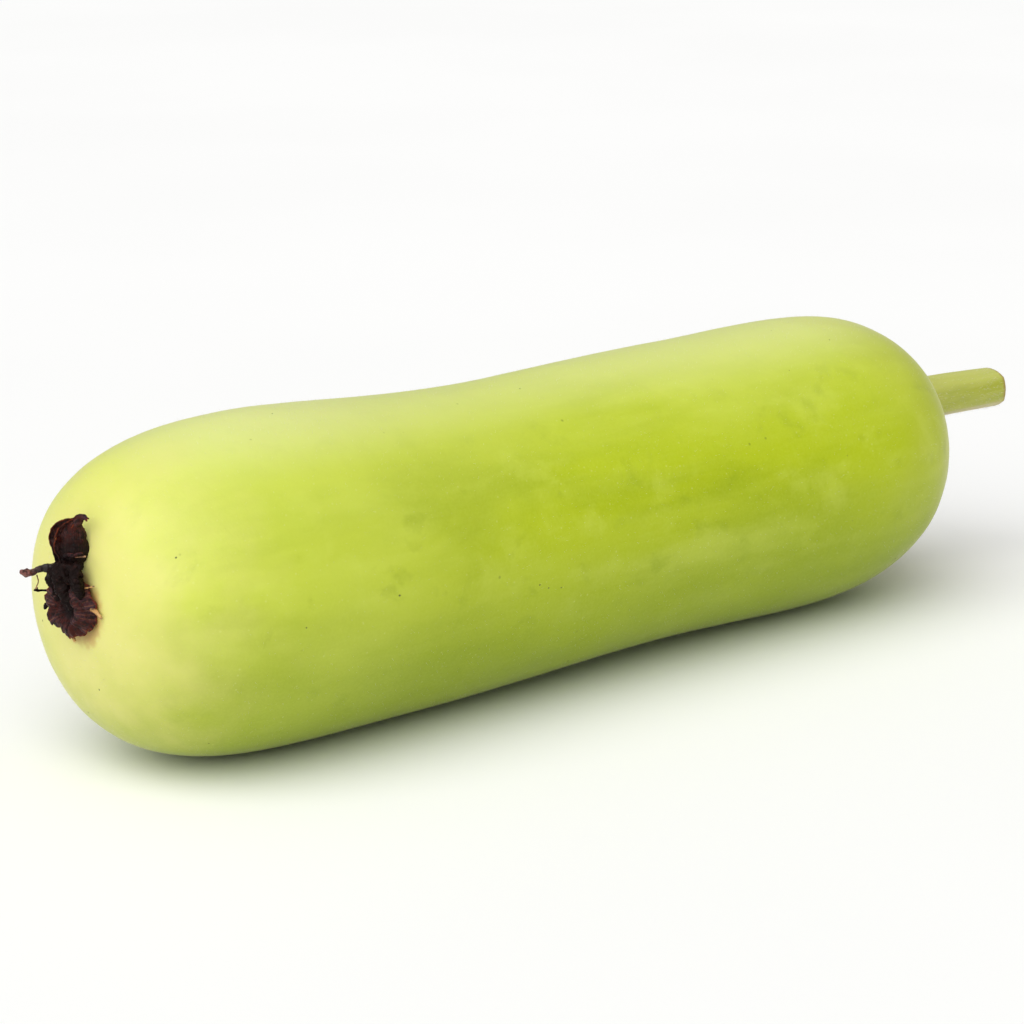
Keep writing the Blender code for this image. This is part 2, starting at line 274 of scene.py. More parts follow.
def hair_tree():
    """Tapering, slightly bent hairs that stand on a surface and lean one way."""
    tree, given, output = new_tree("Hairs", "GeometryNodeTree", (
        ("Geometry", "INPUT", GEOMETRY, None), ("Density", "INPUT", FLOAT, 1000.0),
        ("Length", "INPUT", FLOAT, 0.0008), ("Thickness", "INPUT", FLOAT, 0.00004),
        ("Lean", "INPUT", VECTOR, (0.0, 0.0, 0.0)), ("Lowest", "INPUT", FLOAT, -1.0),
        ("Seed", "INPUT", INTEGER, 0), ("Material", "INPUT", MATERIAL, None),
        ("Geometry", "OUTPUT", GEOMETRY, None)))
    place = tree.nodes.new("GeometryNodeInputPosition").outputs[0]
    patchy = remap(tree, noise_at(tree, place, 60.0), 0.3, 0.7, 0.35, 1.3)
    above = add_node(tree, "ShaderNodeSeparateXYZ", {0: place}).outputs["Z"]
    standing = calculate(tree, "GREATER_THAN", above, given["Lowest"])
    density = calculate(tree, "MULTIPLY", calculate(tree, "MULTIPLY", given["Density"], patchy), standing)
    points = add_node(tree, "GeometryNodeDistributePointsOnFaces", {
        "Mesh": given["Geometry"], "Density": density, "Seed": given["Seed"]}, distribute_method="RANDOM")
    cone = add_node(tree, "GeometryNodeMeshCone", {
        "Vertices": 3, "Side Segments": 3, "Radius Top": 0.12, "Radius Bottom": 0.5, "Depth": 1.0})
    bend_place = tree.nodes.new("GeometryNodeInputPosition").outputs[0]
    height = add_node(tree, "ShaderNodeSeparateXYZ", {0: bend_place}).outputs["Z"]
    bend = calculate(tree, "MULTIPLY", calculate(tree, "MULTIPLY", height, height), 5.0)
    sideways = add_node(tree, "ShaderNodeCombineXYZ", {"X": bend}).outputs[0]
    bent = add_node(tree, "GeometryNodeSetPosition", {"Geometry": cone.outputs["Mesh"], "Offset": sideways})
    stray = add_node(tree, "FunctionNodeRandomValue", {
        "Min": (-0.35, -0.35, -0.35), "Max": (0.35, 0.35, 0.35), "Seed": 3}, data_type="FLOAT_VECTOR")
    upward = vector_math(tree, "ADD", points.outputs["Normal"], vector_math(tree, "ADD", given["Lean"],
                                                                           stray.outputs[0]))
    turned = add_node(tree, "FunctionNodeAlignRotationToVector", {"Vector": upward}, axis="Z")
    longer = add_node(tree, "FunctionNodeRandomValue", {"Min": 0.5, "Max": 1.2, "Seed": 5}, data_type="FLOAT")
    size = add_node(tree, "ShaderNodeCombineXYZ", {
        "X": given["Thickness"], "Y": given["Thickness"],
        "Z": calculate(tree, "MULTIPLY", given["Length"], float_output(longer))})
    hairs = add_node(tree, "GeometryNodeInstanceOnPoints", {
        "Points": points.outputs["Points"], "Instance": bent.outputs[0],
        "Rotation": turned.outputs[0], "Scale": size.outputs[0]})
    finish_tree(tree, hairs.outputs[0], given["Material"], output)
    return tree


def float_output(random_node):
    """The float output of a Random Value node, which shows one output for each type."""
    return next(socket for socket in random_node.outputs if socket.type == "VALUE" and socket.enabled)


def speck_tree():
    """Low round scabs or pores scattered over a surface."""
    tree, given, output = new_tree("Specks", "GeometryNodeTree", (
        ("Geometry", "INPUT", GEOMETRY, None), ("Density", "INPUT", FLOAT, 100.0),
        ("Smallest", "INPUT", FLOAT, 0.0001), ("Largest", "INPUT", FLOAT, 0.0004),
        ("Flatness", "INPUT", FLOAT, 0.2), ("Clumping", "INPUT", FLOAT, 0.5),
        ("Seed", "INPUT", INTEGER, 0), ("Material", "INPUT", MATERIAL, None),
        ("Geometry", "OUTPUT", GEOMETRY, None)))
    place = tree.nodes.new("GeometryNodeInputPosition").outputs[0]
    above = add_node(tree, "ShaderNodeSeparateXYZ", {0: place}).outputs["Z"]
    free = calculate(tree, "GREATER_THAN", above, 0.003)
    clump = remap(tree, noise_at(tree, place, 45.0), given["Clumping"], 0.75)
    density = calculate(tree, "MULTIPLY", given["Density"], calculate(tree, "MULTIPLY", clump, free))
    points = add_node(tree, "GeometryNodeDistributePointsOnFaces", {
        "Mesh": given["Geometry"], "Density": density, "Seed": given["Seed"]}, distribute_method="RANDOM")
    dome = add_node(tree, "GeometryNodeMeshUVSphere", {"Segments": 7, "Rings": 4, "Radius": 0.5})
    width = add_node(tree, "FunctionNodeRandomValue", {"Seed": 11}, data_type="FLOAT")
    for socket in width.inputs:
        if socket.enabled and socket.name in ("Min", "Max"):
            tree.links.new(given["Smallest" if socket.name == "Min" else "Largest"], socket)
    across = float_output(width)
    size = add_node(tree, "ShaderNodeCombineXYZ", {
        "X": across, "Y": calculate(tree, "MULTIPLY", across, 0.8),
        "Z": calculate(tree, "MULTIPLY", across, given["Flatness"])})
    turned = add_node(tree, "FunctionNodeAlignRotationToVector", {"Vector": points.outputs["Normal"]}, axis="Z")
    specks = add_node(tree, "GeometryNodeInstanceOnPoints", {
        "Points": points.outputs["Points"], "Instance": dome.outputs["Mesh"],
        "Rotation": turned.outputs[0], "Scale": size.outputs[0]})
    finish_tree(tree, specks.outputs[0], given["Material"], output)
    return tree


def named_attribute(tree, name, kind="FLOAT"):
    item = add_node(tree, "GeometryNodeInputNamedAttribute", {"Name": name}, data_type=kind)
    return item.outputs[0]


def stem_ridge_tree():
    """Turns a round stalk into a flat-sided one with rounded ridges and a lengthwise grain."""
    tree, given, output = new_tree("Stem ridges", "GeometryNodeTree", (
        ("Geometry", "INPUT", GEOMETRY, None), ("Ridge Count", "INPUT", FLOAT, 5.0),
        ("Ridge Sharpness", "INPUT", FLOAT, 0.6), ("First Ridge", "INPUT", FLOAT, 0.0),
        ("Grain Depth", "INPUT", FLOAT, 0.0001), ("Material", "INPUT", MATERIAL, None),
        ("Geometry", "OUTPUT", GEOMETRY, None)))
    around = named_attribute(tree, "around")
    spoke = named_attribute(tree, "spoke", "FLOAT_VECTOR")
    place = tree.nodes.new("GeometryNodeInputPosition").outputs[0]
    side = calculate(tree, "DIVIDE", 2 * math.pi, given["Ridge Count"])
    half = calculate(tree, "DIVIDE", side, 2.0)
    turned = calculate(tree, "FLOORED_MODULO", calculate(tree, "SUBTRACT", around, given["First Ridge"]), side)
    from_middle = calculate(tree, "SUBTRACT", turned, half)
    flat = calculate(tree, "DIVIDE", calculate(tree, "COSINE", half), calculate(tree, "COSINE", from_middle))
    softened = calculate(tree, "SUBTRACT", calculate(tree, "POWER", flat, 0.8), 0.9)
    ridge = calculate(tree, "MULTIPLY", softened, given["Ridge Sharpness"])
    drawn_out = vector_math(tree, "MULTIPLY", place, (0.06, 1.0, 1.0))
    grain = centred_noise(tree, drawn_out, 900.0, given["Grain Depth"], 2.0)
    outward = vector_math(tree, "SCALE", vector_math(tree, "NORMALIZE", spoke), grain)
    offset = vector_math(tree, "ADD", vector_math(tree, "SCALE", spoke, ridge), outward)
    moved = add_node(tree, "GeometryNodeSetPosition", {"Geometry": given["Geometry"], "Offset": offset})
    finish_tree(tree, moved.outputs[0], given["Material"], output)
    return tree


def crumple_tree():
    """Creases and raised veins on a dried petal or any other shrivelled piece."""
    tree, given, output = new_tree("Crumple", "GeometryNodeTree", (
        ("Geometry", "INPUT", GEOMETRY, None), ("Depth", "INPUT", FLOAT, 0.0004),
        ("Crease Scale", "INPUT", FLOAT, 300.0), ("Vein Count", "INPUT", FLOAT, 7.0),
        ("Vein Depth", "INPUT", FLOAT, 0.0), ("Seed", "INPUT", FLOAT, 0.0),
        ("Material", "INPUT", MATERIAL, None), ("Geometry", "OUTPUT", GEOMETRY, None)))
    place = tree.nodes.new("GeometryNodeInputPosition").outputs[0]
    normal = tree.nodes.new("GeometryNodeInputNormal").outputs[0]
    shift = add_node(tree, "ShaderNodeCombineXYZ", {"X": given["Seed"], "Y": given["Seed"]}).outputs[0]
    somewhere = vector_math(tree, "ADD", place, shift)
    coarse = centred_noise(tree, somewhere, given["Crease Scale"], given["Depth"], 2.0)
    fine_scale = calculate(tree, "MULTIPLY", given["Crease Scale"], 3.3)
    fine = centred_noise(tree, somewhere, fine_scale, calculate(tree, "MULTIPLY", given["Depth"], 0.35), 2.0)
    across = named_attribute(tree, "across")
    wave = calculate(tree, "COSINE", calculate(tree, "MULTIPLY", calculate(tree, "MULTIPLY", across, math.pi),
                                              given["Vein Count"]))
    vein = calculate(tree, "MULTIPLY", calculate(tree, "POWER", calculate(tree, "ABSOLUTE", wave), 6.0),
                     given["Vein Depth"])
    height = calculate(tree, "ADD", calculate(tree, "ADD", coarse, fine), vein)
    offset = vector_math(tree, "SCALE", normal, height)
    moved = add_node(tree, "GeometryNodeSetPosition", {"Geometry": given["Geometry"], "Offset": offset})
    finish_tree(tree, moved.outputs[0], given["Material"], output)
    return tree


def tree_once(name, maker):
    """The geometry tree or shader group of that name, made when it is first needed."""
    return bpy.data.node_groups.get(name) or maker()


# Meshes

def grid_mesh(name, points, closed_round=True, attributes=None):
    """A mesh through rows of points, closed at both ends by a middle point where its rows are rings."""
    rows, columns = points.shape[:2]
    vertices = points.reshape(-1, 3).tolist()
    index = np.arange(rows * columns).reshape(rows, columns)
    if closed_round:
        index = np.concatenate([index, index[:, :1]], axis=1)
    corners = (index[:-1, :-1], index[:-1, 1:], index[1:, 1:], index[1:, :-1])
    faces = np.stack([corner.ravel() for corner in corners], axis=1).tolist()
    if closed_round:
        for ring, turn in ((0, -1), (rows - 1, 1)):
            vertices.append(points[ring].mean(axis=0).tolist())
            rim = index[ring][::turn]
            faces += [[int(a), int(b), len(vertices) - 1] for a, b in zip(rim, rim[1:])]
    mesh = bpy.data.meshes.new(name)
    mesh.from_pydata(vertices, [], faces)
    for label, values in (attributes or {}).items():
        store_attribute(mesh, label, values)
    return mesh


def store_attribute(mesh, label, values):
    """Keeps one value or vector for each point of the grid; middle points of the ends keep zero."""
    kind = "FLOAT_VECTOR" if values.ndim == 3 else "FLOAT"
    layer = mesh.attributes.new(label, kind, "POINT")
    flat = np.zeros(len(mesh.vertices) * (3 if values.ndim == 3 else 1))
    flat[:values.size] = values.ravel()
    layer.data.foreach_set("vector" if values.ndim == 3 else "value", flat)


def grow(name, base, tree, values, before=(), after=()):
    """Runs a geometry tree on a mesh, among other modifiers, and keeps the result as a plain piece."""
    holder = bpy.data.objects.new(name, base)
    bpy.context.scene.collection.objects.link(holder)
    for kind, settings in before:
        set_modifier(holder, kind, settings)
    modifier = holder.modifiers.new("tree", "NODES")
    modifier.node_group = tree
    for item in tree.interface.items_tree:
        if item.item_type == "SOCKET" and item.in_out == "INPUT" and item.name in values:
            modifier[item.identifier] = values[item.name]
    for kind, settings in after:
        set_modifier(holder, kind, settings)
    grown = holder.evaluated_get(bpy.context.evaluated_depsgraph_get())
    mesh = bpy.data.meshes.new_from_object(grown)
    holder.modifiers.clear()
    holder.data = mesh
    mesh.name = name
    return holder


def set_modifier(item, kind, settings):
    modifier = item.modifiers.new(kind.lower(), kind)
    for name, value in settings.items():
        setattr(modifier, name, value)


def place_piece(piece, slot, *nodes):
    """Hangs a finished piece on the root and hides the frame's solids that it stands for; its slot, the finish, is not
    used.
    """
    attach(piece, "root")
    if nodes:
        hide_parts(*nodes)
    return piece


def smooth_through(rows, wanted):
    """Points on a smooth curve through the rows, at fractional row numbers."""
    cell = np.clip(np.floor(wanted).astype(int), 0, len(rows) - 2)
    t = (wanted - cell).reshape(-1, *([1] * (rows.ndim - 1)))
    lengths = np.linalg.norm(np.diff(rows, axis=0), axis=-1)
    lengths = lengths.reshape(len(lengths), -1).mean(axis=1)
    along = np.concatenate([[0.0], np.cumsum(lengths)])
    slopes = np.gradient(rows, along, axis=0)
    span = lengths[cell].reshape(t.shape)
    start, end = rows[cell], rows[cell + 1]
    return ((2 * t ** 3 - 3 * t ** 2 + 1) * start + (t ** 3 - 2 * t ** 2 + t) * span * slopes[cell]
            + (3 * t ** 2 - 2 * t ** 3) * end + (t ** 3 - t ** 2) * span * slopes[cell + 1])


def even_rows(rows, count):
    """Fractional row numbers that space the points evenly along a loft."""
    lengths = np.linalg.norm(np.diff(rows, axis=0), axis=-1).mean(axis=-1)
    along = np.concatenate([[0.0], np.cumsum(lengths)])
    return np.interp(np.linspace(0, along[-1], count), along, np.arange(len(rows)))


def solid_rings(node, columns):
    """The rings a lofted solid of the frame is made of, in order along X, each drawn with even angles."""
    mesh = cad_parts[node].data
    flat = np.empty(len(mesh.vertices) * 3)
    mesh.vertices.foreach_get("co", flat)
    points = np.unique(flat.reshape(-1, 3).round(6), axis=0)
    return np.array([even_ring(points[points[:, 0] == x], columns) for x in np.unique(points[:, 0])])


def even_ring(ring, columns):
    """A smooth closed ring through loose points, with its own points at even angles from its middle."""
    middle = (ring.min(axis=0) + ring.max(axis=0)) / 2
    angles = np.arctan2(ring[:, 2] - middle[2], ring[:, 1] - middle[1])
    order = np.argsort(angles)
    wrapped = np.concatenate([ring[order]] * 3)
    turns = np.concatenate([angles[order] + turn * 2 * math.pi for turn in (-1, 0, 1)])
    wanted = np.linspace(0, 2 * math.pi, columns, endpoint=False)
    return smooth_through(wrapped, np.interp(wanted, turns, np.arange(len(turns))))


def fruit_surface(rows, columns):
    """The fruit's skin as fine rings, from the scar under the flower to the scar under the stem."""
    coarse = solid_rings("fruit", columns)
    skin = smooth_through(coarse, even_rows(coarse, rows))
    skin[:, :, 2] = np.maximum(skin[:, :, 2], 0.0)
    shrink = np.array([0.25, 0.5, 0.75]).reshape(-1, 1, 1)
    first, last = skin[:1].mean(axis=1, keepdims=True), skin[-1:].mean(axis=1, keepdims=True)
    near = first + (skin[:1] - first) * shrink
    far = last + (skin[-1:] - last) * shrink[::-1]
    return np.concatenate([near, skin, far])


# Shader groups

def blotch_group():
    """Soft cloudy patches, drawn out along the fruit."""
    tree, given, output = new_tree("Blotches", "ShaderNodeTree", (
        ("Vector", "INPUT", VECTOR, None), ("Scale", "INPUT", FLOAT, 20.0), ("Stretch", "INPUT", FLOAT, 3.0),
        ("Low", "INPUT", FLOAT, 0.4), ("High", "INPUT", FLOAT, 0.6), ("Mask", "OUTPUT", FLOAT, None)))
    squeeze = add_node(tree, "ShaderNodeCombineXYZ", {
        "X": calculate(tree, "DIVIDE", 1.0, given["Stretch"]), "Y": 1.0, "Z": 1.0}).outputs[0]
    drawn_out = vector_math(tree, "MULTIPLY", given["Vector"], squeeze)
    grey = noise_at(tree, drawn_out, given["Scale"], 4.0, 0.58, 0.3)
    tree.links.new(remap(tree, grey, given["Low"], given["High"]), output["Mask"])
    return tree


def dot_group():
    """Small round dots, each in a cell of its own, of which only a share shows."""
    tree, given, output = new_tree("Dots", "ShaderNodeTree", (
        ("Vector", "INPUT", VECTOR, None), ("Scale", "INPUT", FLOAT, 100.0), ("Size", "INPUT", FLOAT, 0.2),
        ("Share", "INPUT", FLOAT, 0.5), ("Mask", "OUTPUT", FLOAT, None)))
    cells = add_node(tree, "ShaderNodeTexVoronoi", {"Vector": given["Vector"], "Scale": given["Scale"]})
    inside = remap(tree, cells.outputs["Distance"], calculate(tree, "MULTIPLY", given["Size"], 0.4),
                   given["Size"], 1.0, 0.0)
    chance = add_node(tree, "ShaderNodeSeparateColor", {0: cells.outputs["Color"]}).outputs[0]
    shown = calculate(tree, "LESS_THAN", chance, given["Share"])
    tree.links.new(calculate(tree, "MULTIPLY", inside, shown), output["Mask"])
    return tree


def use_group(tree, name, maker, inputs):
    """A shader group placed in a material with its own values."""
    item = add_node(tree, "ShaderNodeGroup")
    item.node_tree = tree_once(name, maker)
    for label, value in inputs.items():
        connect(tree, value, item.inputs[label])
    return item.outputs[0]


# Materials

def new_material(name):
    """A material's tree and its Principled shader, with the rest of the default nodes kept."""
    material = bpy.data.materials.new(name)
    material.use_nodes = True
    return material, material.node_tree, material.node_tree.nodes["Principled BSDF"]


def object_place(tree):
    return tree.nodes.new("ShaderNodeTexCoord").outputs["Object"]


def add_bump(tree, shader, height, strength, distance):
    bump = add_node(tree, "ShaderNodeBump", {"Height": height, "Strength": strength, "Distance": distance})
    tree.links.new(bump.outputs[0], shader.inputs["Normal"])


def along_fruit(tree, place):
    """0 at the blossom end of the fruit and 1 at its stem end."""
    x = add_node(tree, "ShaderNodeSeparateXYZ", {0: place}).outputs["X"]
    item = add_node(tree, "ShaderNodeMapRange", interpolation_type="LINEAR")
    for socket, value in zip(item.inputs, (x, FRUIT_LOW.x, FRUIT_HIGH.x, 0.0, 1.0)):
        connect(tree, value, socket)
    return item.outputs[0]


def skin_material(fruit):
    """Mottled yellow-green skin, cream round the flower, stained where the flower sits, with painted shade on its
    lower side and painted light and a painted sheen along its top.
    """
    material, tree, shader = new_material("gourd skin")
    place = object_place(tree)
    height = add_node(tree, "ShaderNodeSeparateXYZ", {0: place}).outputs["Z"]
    along = along_fruit(tree, place)
    skin, deep, pale = (tuple(c) for c in (fruit.skin_colour, fruit.deep_colour, fruit.pale_colour))

    def blotches(scale, stretch, low, high):
        return use_group(tree, "Blotches", blotch_group, {
            "Vector": place, "Scale": scale, "Stretch": stretch, "Low": low, "High": high})

    def dots(scale, size, share):
        return use_group(tree, "Dots", dot_group, {"Vector": place, "Scale": scale, "Size": size, "Share": share})

    def share_of(mask, amount):
        return calculate(tree, "MULTIPLY", mask, amount)

    yellower = blend(tree, remap(tree, along, 0.1, 0.55, 1.0, 0.0), skin, pale)
    colour = blend(tree, remap(tree, along, 0.05, 0.7, 0.55, 0.0), skin, yellower)
    colour = blend(tree, share_of(blotches(26.0, 2.6, 0.42, 0.66), 0.38), colour, deep)
    colour = blend(tree, share_of(blotches(41.0, 3.4, 0.5, 0.72), 0.42), colour, pale)
    colour = blend(tree, share_of(blotches(150.0, 9.0, 0.42, 0.7), 0.12), colour, pale)
    colour = blend(tree, share_of(blotches(78.0, 1.3, 0.5, 0.72), 0.3), colour, pale)
    colour = blend(tree, share_of(blotches(96.0, 1.2, 0.56, 0.74), 0.3), colour, deep)
    colour = blend(tree, share_of(blotches(13.0, 1.6, 0.62, 0.76), 0.45), colour, deep)
    drift = calculate(tree, "MULTIPLY", noise_at(tree, place, 16.0, 2.0), 0.02)
    level = calculate(tree, "ADD", height, drift)
    # Painted shade: the lower side of the fruit is darkened toward deep green.
    painted_shade_underneath = remap(tree, level, 0.2 * FRUIT_HIGH.z, 0.75 * FRUIT_HIGH.z, 0.8, 0.0)
    colour = blend(tree, painted_shade_underneath, colour, deep)
    # Painted light: the top side of the fruit is lightened toward pale green.
    upper = remap(tree, level, 0.75 * FRUIT_HIGH.z, 1.2 * FRUIT_HIGH.z, 0.0, 0.9)
    colour = blend(tree, upper, colour, pale)
    # Painted sheen: whitish green painted along the very top of the fruit.
    painted_top_sheen = remap(tree, height, 0.86 * FRUIT_HIGH.z, 1.05 * FRUIT_HIGH.z, 0.0, 0.62)
    colour = blend(tree, painted_top_sheen, colour, tuple(fruit.painted_sheen_colour))

    from_flower = vector_math(tree, "DISTANCE", place, tuple(FLOWER_SEAT), output=1)
    wander = calculate(tree, "MULTIPLY", noise_at(tree, place, 70.0, 3.0), 0.03)
    cream = remap(tree, calculate(tree, "ADD", from_flower, wander), 0.02, 0.078, 0.95, 0.0)
    colour = blend(tree, cream, colour, tuple(fruit.blossom_colour))
    stem_seat = (STEM_LOW.x, (STEM_LOW.y + STEM_HIGH.y) / 2, (STEM_LOW.z + STEM_HIGH.z) / 2)
    from_stem = vector_math(tree, "DISTANCE", place, stem_seat, output=1)
    dull = remap(tree, calculate(tree, "ADD", from_stem, wander), 0.015, 0.085, 0.8, 0.0)
    colour = blend(tree, dull, colour, tuple(fruit.stem_end_colour))

    colour = blend(tree, share_of(dots(420.0, 0.17, 0.35), 0.22), colour, linear("dfe59a"))
    colour = blend(tree, share_of(dots(150.0, 0.09, 0.08), 0.5), colour, linear("6f7d20"))
    spread = calculate(tree, "MULTIPLY", noise_at(tree, place, 260.0, 3.0), 0.006)
    stain_middle = from_flower_frame((0.0, 3.6, -0.5))
    from_stain = vector_math(tree, "DISTANCE", place, tuple(stain_middle), output=1)
    stained = remap(tree, calculate(tree, "ADD", from_stain, spread), 0.0100, 0.0142, 0.8, 0.0)
    colour = blend(tree, stained, colour, linear("b98a50"))
    grain = noise_at(tree, place, 1300.0, 3.0, 0.6)
    colour = blend(tree, remap(tree, grain, 0.35, 0.7, 0.0, 0.10), colour, pale)
    tree.links.new(colour, shader.inputs["Base Color"])

    rough = remap(tree, noise_at(tree, place, 55.0, 3.0), 0.3, 0.7, 0.40, 0.50)
    tree.links.new(rough, shader.inputs["Roughness"])
    relief = calculate(tree, "ADD", grain, calculate(tree, "MULTIPLY", noise_at(tree, place, 420.0, 2.0), 1.5))
    add_bump(tree, shader, relief, 0.28, 0.00012)
    shader.inputs["Subsurface Weight"].default_value = 0.18
    shader.inputs["Subsurface Radius"].default_value = (0.7, 1.0, 0.25)
    shader.inputs["Subsurface Scale"].default_value = 0.004
    shader.inputs["Specular IOR Level"].default_value = 0.24
    shader.inputs["Sheen Weight"].default_value = 0.3
    shader.inputs["Sheen Roughness"].default_value = 0.25
    shader.inputs["Sheen Tint"].default_value = (1.0, 0.96, 0.88, 1.0)
    return material


def plain_relief_material(name, colour, roughness, **sockets):
    """A small piece's finish: one colour with fine light and dark flecks and a little relief."""
    material, tree, shader = new_material(name)
    place = object_place(tree)
    flecks = noise_at(tree, place, 900.0, 3.0, 0.6)
    darker = tuple(c * 0.55 for c in colour)
    lighter = tuple(min(1.0, c * 1.35) for c in colour)
    tree.links.new(blend(tree, remap(tree, flecks, 0.35, 0.65), darker, lighter), shader.inputs["Base Color"])
    tree.links.new(remap(tree, flecks, 0.3, 0.7, roughness - 0.08, roughness + 0.08), shader.inputs["Roughness"])
    add_bump(tree, shader, flecks, 0.4, 0.0001)
    for label, value in sockets.items():
        shader.inputs[label.replace("_", " ")].default_value = value
    return material


def stem_material(stem):
    """Green rind, paler on the ridges and browned at the cut, round a pale pith with a ring of vessels, with painted
    light on its top side and a pale pinkish painted bounce light on its lower side.
    """
    material, tree, shader = new_material("stem rind")
    place = object_place(tree)
    x = add_node(tree, "ShaderNodeSeparateXYZ", {0: place}).outputs["X"]
    ridge = add_node(tree, "ShaderNodeAttribute", attribute_name="ridge").outputs["Fac"]
    radial = add_node(tree, "ShaderNodeAttribute", attribute_name="radial").outputs["Fac"]
    streaks = use_group(tree, "Blotches", blotch_group, {
        "Vector": place, "Scale": 420.0, "Stretch": 16.0, "Low": 0.38, "High": 0.66})
    rind, light = tuple(stem.rind_colour), tuple(stem.light_colour)
    colour = blend(tree, calculate(tree, "MULTIPLY", ridge, 0.7), rind, light)
    colour = blend(tree, calculate(tree, "MULTIPLY", streaks, 0.35), colour, light)
    clouds = use_group(tree, "Blotches", blotch_group, {
        "Vector": place, "Scale": 130.0, "Stretch": 3.0, "Low": 0.5, "High": 0.75})
    colour = blend(tree, calculate(tree, "MULTIPLY", clouds, 0.35), colour, linear("8d9a2c"))
    height = add_node(tree, "ShaderNodeSeparateXYZ", {0: place}).outputs["Z"]
    middle = (STEM_LOW.z + STEM_HIGH.z) / 2
    # Painted light: the stem's top side is lightened toward a paler green.
    above = remap(tree, height, middle + 0.0015, middle + 0.0045, 0.0, 0.6)
    colour = blend(tree, above, colour, linear("c8cb66"))
    # Painted light: the stem's lower side is lifted to a pale pinkish cream, as light bounced from the floor.
    below = remap(tree, height, middle - 0.0058, middle - 0.0030, 0.75, 0.0)
    colour = blend(tree, below, colour, linear("d6c894"))
    foot = remap(tree, x, STEM_LOW.x, STEM_LOW.x + 0.012, 0.6, 0.0)
    colour = blend(tree, foot, colour, linear("b9be62"))
    rim_noise = calculate(tree, "MULTIPLY", noise_at(tree, place, 500.0, 3.0), 0.0024)
    near_cut = remap(tree, calculate(tree, "ADD", x, rim_noise), STEM_HIGH.x - 0.0006, STEM_HIGH.x + 0.0012)
    colour = blend(tree, calculate(tree, "MULTIPLY", near_cut, 0.7), colour, tuple(stem.brown_colour))
    pith = remap(tree, radial, 0.80, 0.93, 1.0, 0.0)
    vessels = calculate(tree, "MULTIPLY", remap(tree, radial, 0.5, 0.62), remap(tree, radial, 0.66, 0.8, 1.0, 0.0))
    dots = use_group(tree, "Dots", dot_group, {"Vector": place, "Scale": 900.0, "Size": 0.4, "Share": 0.6})
    face = blend(tree, calculate(tree, "MULTIPLY", vessels, 0.6), tuple(stem.cut_colour), linear("97a24a"))
    face = blend(tree, calculate(tree, "MULTIPLY", dots, 0.35), face, linear("a3925a"))
    colour = blend(tree, pith, colour, face)
    tree.links.new(colour, shader.inputs["Base Color"])
    tree.links.new(remap(tree, streaks, 0.0, 1.0, 0.5, 0.62), shader.inputs["Roughness"])
    grain = noise_at(tree, vector_math(tree, "MULTIPLY", place, (0.08, 1.0, 1.0)), 2600.0, 3.0)
    add_bump(tree, shader, grain, 0.5, 0.0001)
    shader.inputs["Subsurface Weight"].default_value = 0.12
    shader.inputs["Subsurface Radius"].default_value = (0.6, 1.0, 0.25)
    shader.inputs["Subsurface Scale"].default_value = 0.002
    shader.inputs["Sheen Weight"].default_value = 0.15
    shader.inputs["Sheen Tint"].default_value = (1.0, 0.93, 0.85, 1.0)
    return material


def petal_material(flower):
    """Dried petal: purple-grey faces, rusty rims, light brown veins and black creases, with painted shade darkening it
    toward the throat.
    """
    material, tree, shader = new_material("dried petal")
    place = object_place(tree)
    edge = add_node(tree, "ShaderNodeAttribute", attribute_name="edge").outputs["Fac"]
    across = add_node(tree, "ShaderNodeAttribute", attribute_name="across").outputs["Fac"]
    clouds = noise_at(tree, place, 330.0, 4.0, 0.6)
    creases = noise_at(tree, place, 900.0, 4.0, 0.65)
    colour = blend(tree, remap(tree, clouds, 0.42, 0.62), tuple(flower.petal_colour), tuple(flower.inside_colour))
    wave = calculate(tree, "ABSOLUTE", calculate(tree, "COSINE", calculate(tree, "MULTIPLY", across, 7 * math.pi)))
    vein = calculate(tree, "MULTIPLY", calculate(tree, "POWER", wave, 12.0), remap(tree, clouds, 0.4, 0.6))
    colour = blend(tree, calculate(tree, "MULTIPLY", vein, 0.4), colour, tuple(flower.vein_colour))
    rust = remap(tree, calculate(tree, "ADD", edge, calculate(tree, "MULTIPLY", creases, 0.3)), 0.85, 1.15)
    colour = blend(tree, calculate(tree, "MULTIPLY", rust, 0.9), colour, tuple(flower.rim_colour))
    colour = blend(tree, remap(tree, creases, 0.52, 0.40, 0.0, 0.85), colour, linear("120807"))
    # Painted shade: each petal darkens to near black toward the throat, where it lies in shade.
    depth = add_node(tree, "ShaderNodeAttribute", attribute_name="along").outputs["Fac"]
    colour = blend(tree, remap(tree, depth, 0.25, 0.55, 0.85, 0.0), colour, linear("0b0403"))
    tree.links.new(colour, shader.inputs["Base Color"])
    tree.links.new(remap(tree, creases, 0.3, 0.7, 0.42, 0.72), shader.inputs["Roughness"])
    add_bump(tree, shader, creases, 0.8, 0.0003)
    shader.inputs["Specular IOR Level"].default_value = 0.15
    shader.inputs["Subsurface Weight"].default_value = 0.08
    shader.inputs["Subsurface Radius"].default_value = (1.0, 0.3, 0.15)
    shader.inputs["Subsurface Scale"].default_value = 0.001
    return material


def char_material(flower):
    """The shrivelled base and throat: nearly black, waxy on its high spots."""
    material, tree, shader = new_material("shrivelled black")
    place = object_place(tree)
    creases = noise_at(tree, place, 700.0, 5.0, 0.65)
    colour = blend(tree, remap(tree, creases, 0.5, 0.72), tuple(flower.char_colour), linear("2a120d"))
    colour = blend(tree, remap(tree, creases, 0.66, 0.78, 0.0, 0.6), colour, linear("5a3a33"))
    tree.links.new(colour, shader.inputs["Base Color"])
    tree.links.new(remap(tree, creases, 0.3, 0.7, 0.66, 0.42), shader.inputs["Roughness"])
    add_bump(tree, shader, creases, 0.9, 0.0004)
    shader.inputs["Specular IOR Level"].default_value = 0.1
    return material


